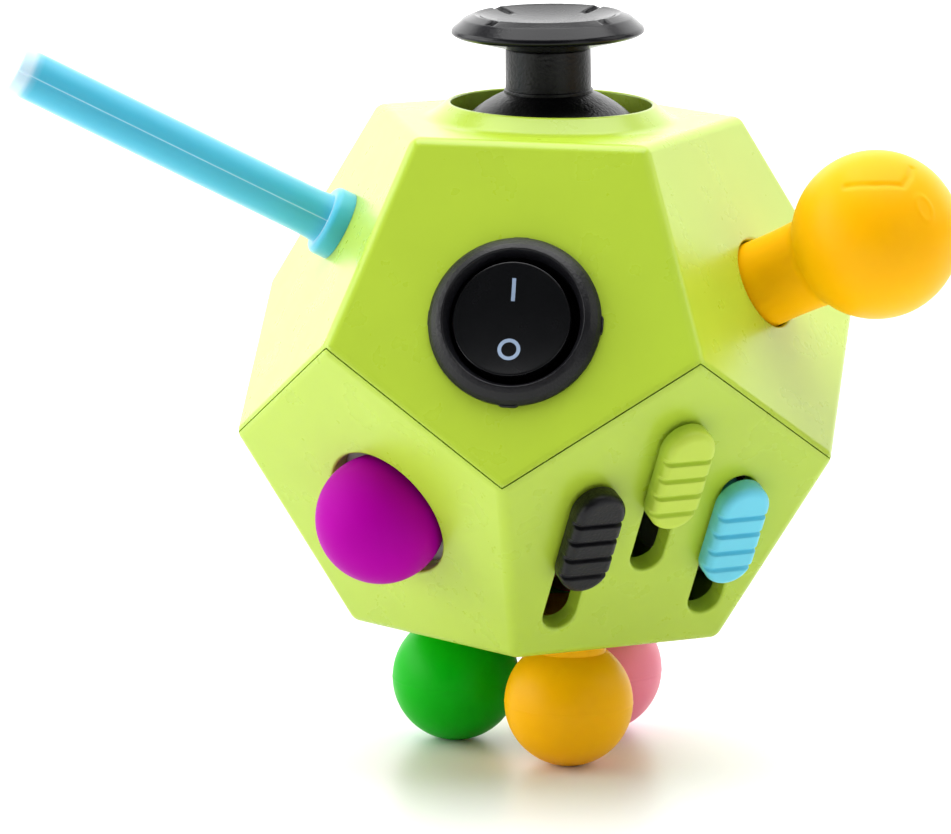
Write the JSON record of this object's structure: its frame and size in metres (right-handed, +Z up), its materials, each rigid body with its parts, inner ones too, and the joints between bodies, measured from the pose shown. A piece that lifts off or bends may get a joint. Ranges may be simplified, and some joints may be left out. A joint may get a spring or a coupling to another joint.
{
  "type": "fidget toy",
  "caption": "Hand-held dodecahedron fidget toy with joystick, rocker switch, sliders, press ball, punch bulb, tube, dial, gears, spinner and buttons, on silicone ball feet.",
  "frame": {"origin": "on the plane that the three foot balls stand on, under the body's five-fold axis", "axes": "+Z up through the joystick, -Y towards the rocker switch's face"},
  "size_m": [0.0907, 0.0598, 0.0719],
  "materials": {
    "shell": "smooth satin moulded lime green",
    "thumb_rubber": "matte fine grain",
    "black_plastic": "fine spark-eroded grain",
    "inner_plastic": "natural moulded",
    "spring_steel": "drawn wire",
    "rocker_plastic": "smooth",
    "lime_plastic": "satin",
    "blue_plastic": "satin",
    "purple_silicone": "matte",
    "yellow_silicone": "satin",
    "blue_silicone": "satin, slightly translucent",
    "green_silicone": "satin",
    "pink_silicone": "satin",
    "dial_plastic": "smooth",
    "orange_plastic": "satin",
    "violet_plastic": "satin",
    "red_plastic": "smooth",
    "yellow_plastic": "smooth",
    "violet_silicone": "matte"
  },
  "bodies": {
    "root": {"upper_shell": "shell", "lower_shell": "shell", "joystick_base": "inner_plastic", "joystick_spring": "spring_steel", "joystick_screws": "spring_steel", "switch_bezel": "black_plastic", "press_spring": "spring_steel", "press_cup": "inner_plastic", "bulb_plug": "yellow_silicone", "tube_grommet": "blue_silicone", "foot_ball_yellow": "yellow_silicone", "foot_ball_green": "green_silicone", "foot_ball_pink": "pink_silicone", "dial_cup": "black_plastic", "dial_rivet": "spring_steel", "gear_cup": "black_plastic", "gear_pins": "spring_steel", "spinner_cup": "black_plastic", "spinner_pin": "spring_steel", "button_spring_a": "spring_steel", "button_spring_b": "spring_steel", "button_spring_c": "spring_steel", "button_frame": "inner_plastic", "worry_pad": "violet_silicone"},
    "gimbal": {"joystick_gimbal": "inner_plastic"},
    "stick": {"joystick_cap": "thumb_rubber", "joystick_stem": "black_plastic"},
    "rocker": {"switch_rocker": "rocker_plastic", "switch_plunger": "inner_plastic", "switch_spring": "spring_steel"},
    "slider_black": {"slider_knob_black": "black_plastic", "slider_retainer_black": "black_plastic"},
    "slider_green": {"slider_knob_green": "lime_plastic", "slider_retainer_green": "black_plastic"},
    "slider_blue": {"slider_knob_blue": "blue_plastic", "slider_retainer_blue": "black_plastic"},
    "press": {"press_ball": "purple_silicone", "press_plunger": "inner_plastic"},
    "bulb": {"punch_bulb": "yellow_silicone"},
    "tube": {"pull_tube": "blue_silicone"},
    "dial": {"dial_disc": "dial_plastic"},
    "gear_left": {"gear_left": "orange_plastic"},
    "gear_right": {"gear_right": "violet_plastic"},
    "spinner": {"spinner_rotor": "red_plastic"},
    "button_a": {"button_a": "red_plastic"},
    "button_b": {"button_b": "yellow_plastic"},
    "button_c": {"button_c": "dial_plastic"}
  },
  "joints": [
    {"name": "joystick_tilt_side", "type": "hinge", "parent": "root", "child": "gimbal", "pos_m": [0, 0, 0.05357], "axis": [1, 0, 0], "range_deg": [-18, 18], "stiffness_Nm_per_rad": 0.004},
    {"name": "joystick_tilt_fore", "type": "hinge", "parent": "gimbal", "child": "stick", "pos_m": [0, 0, 0.05357], "axis": [0, 1, 0], "range_deg": [-16.4, 19.6], "stiffness_Nm_per_rad": 0.004, "deforming": ["joystick_spring"]},
    {"name": "rocker_tilt", "type": "hinge", "parent": "root", "child": "rocker", "pos_m": [-0.00025, -0.02169, 0.04513], "axis": [1, 0, 0], "range_deg": [-9, 9]},
    {"name": "slider_black_slide", "type": "slide", "parent": "root", "child": "slider_black", "axis": [0.2629, -0.3618, 0.8944], "range_m": [-0.0076, 0.0006]},
    {"name": "slider_green_slide", "type": "slide", "parent": "root", "child": "slider_green", "axis": [0.2629, -0.3618, 0.8944], "range_m": [-0.008, 0.0002]},
    {"name": "slider_blue_slide", "type": "slide", "parent": "root", "child": "slider_blue", "axis": [0.2629, -0.3618, 0.8944], "range_m": [-0.00673, 0.00147]},
    {"name": "press_ball_push", "type": "slide", "parent": "root", "child": "press", "axis": [0.5257, 0.7236, 0.4472], "range_m": [0, 0.0022], "stiffness_N_per_m": 40, "deforming": ["press_spring"]},
    {"name": "bulb_bend", "type": "hinge", "parent": "root", "child": "bulb", "pos_m": [0.02208, -0.0057, 0.04768], "axis": [0.309, 0.9511, 0], "range_deg": [-25, 25], "stiffness_Nm_per_rad": 0.02},
    {"name": "tube_bend", "type": "hinge", "parent": "root", "child": "tube", "pos_m": [-0.02144, -0.00665, 0.05233], "axis": [0.309, -0.9511, 0], "range_deg": [-20, 20], "stiffness_Nm_per_rad": 0.01},
    {"name": "dial_spin", "type": "hinge", "parent": "root", "child": "dial", "pos_m": [0.01288, 0.01773, 0.04803], "axis": [0.5257, 0.7236, 0.4472], "continuous": true},
    {"name": "gear_left_spin", "type": "hinge", "parent": "root", "child": "gear_left", "pos_m": [-0.00924, 0.02037, 0.04803], "axis": [-0.5257, 0.7236, 0.4472], "continuous": true},
    {"name": "gear_right_spin", "type": "hinge", "parent": "root", "child": "gear_right", "pos_m": [-0.01652, 0.01508, 0.04803], "axis": [-0.5257, 0.7236, 0.4472], "continuous": true},
    {"name": "spinner_spin", "type": "hinge", "parent": "root", "child": "spinner", "pos_m": [0, 0.02191, 0.02612], "axis": [0, 0.8944, -0.4472], "continuous": true},
    {"name": "button_a_push", "type": "slide", "parent": "root", "child": "button_a", "axis": [-0.8507, -0.2764, 0.4472], "range_m": [0, 0.0014], "stiffness_N_per_m": 10, "deforming": ["button_spring_a"]},
    {"name": "button_b_push", "type": "slide", "parent": "root", "child": "button_b", "axis": [-0.8507, -0.2764, 0.4472], "range_m": [0, 0.0014], "stiffness_N_per_m": 10, "deforming": ["button_spring_b"]},
    {"name": "button_c_push", "type": "slide", "parent": "root", "child": "button_c", "axis": [-0.8507, -0.2764, 0.4472], "range_m": [0, 0.0014], "stiffness_N_per_m": 10, "deforming": ["button_spring_c"]}
  ],
  "couplings": [
    {"joint": "gear_right_spin", "follows": "gear_left_spin", "ratio": -1}
  ]
}
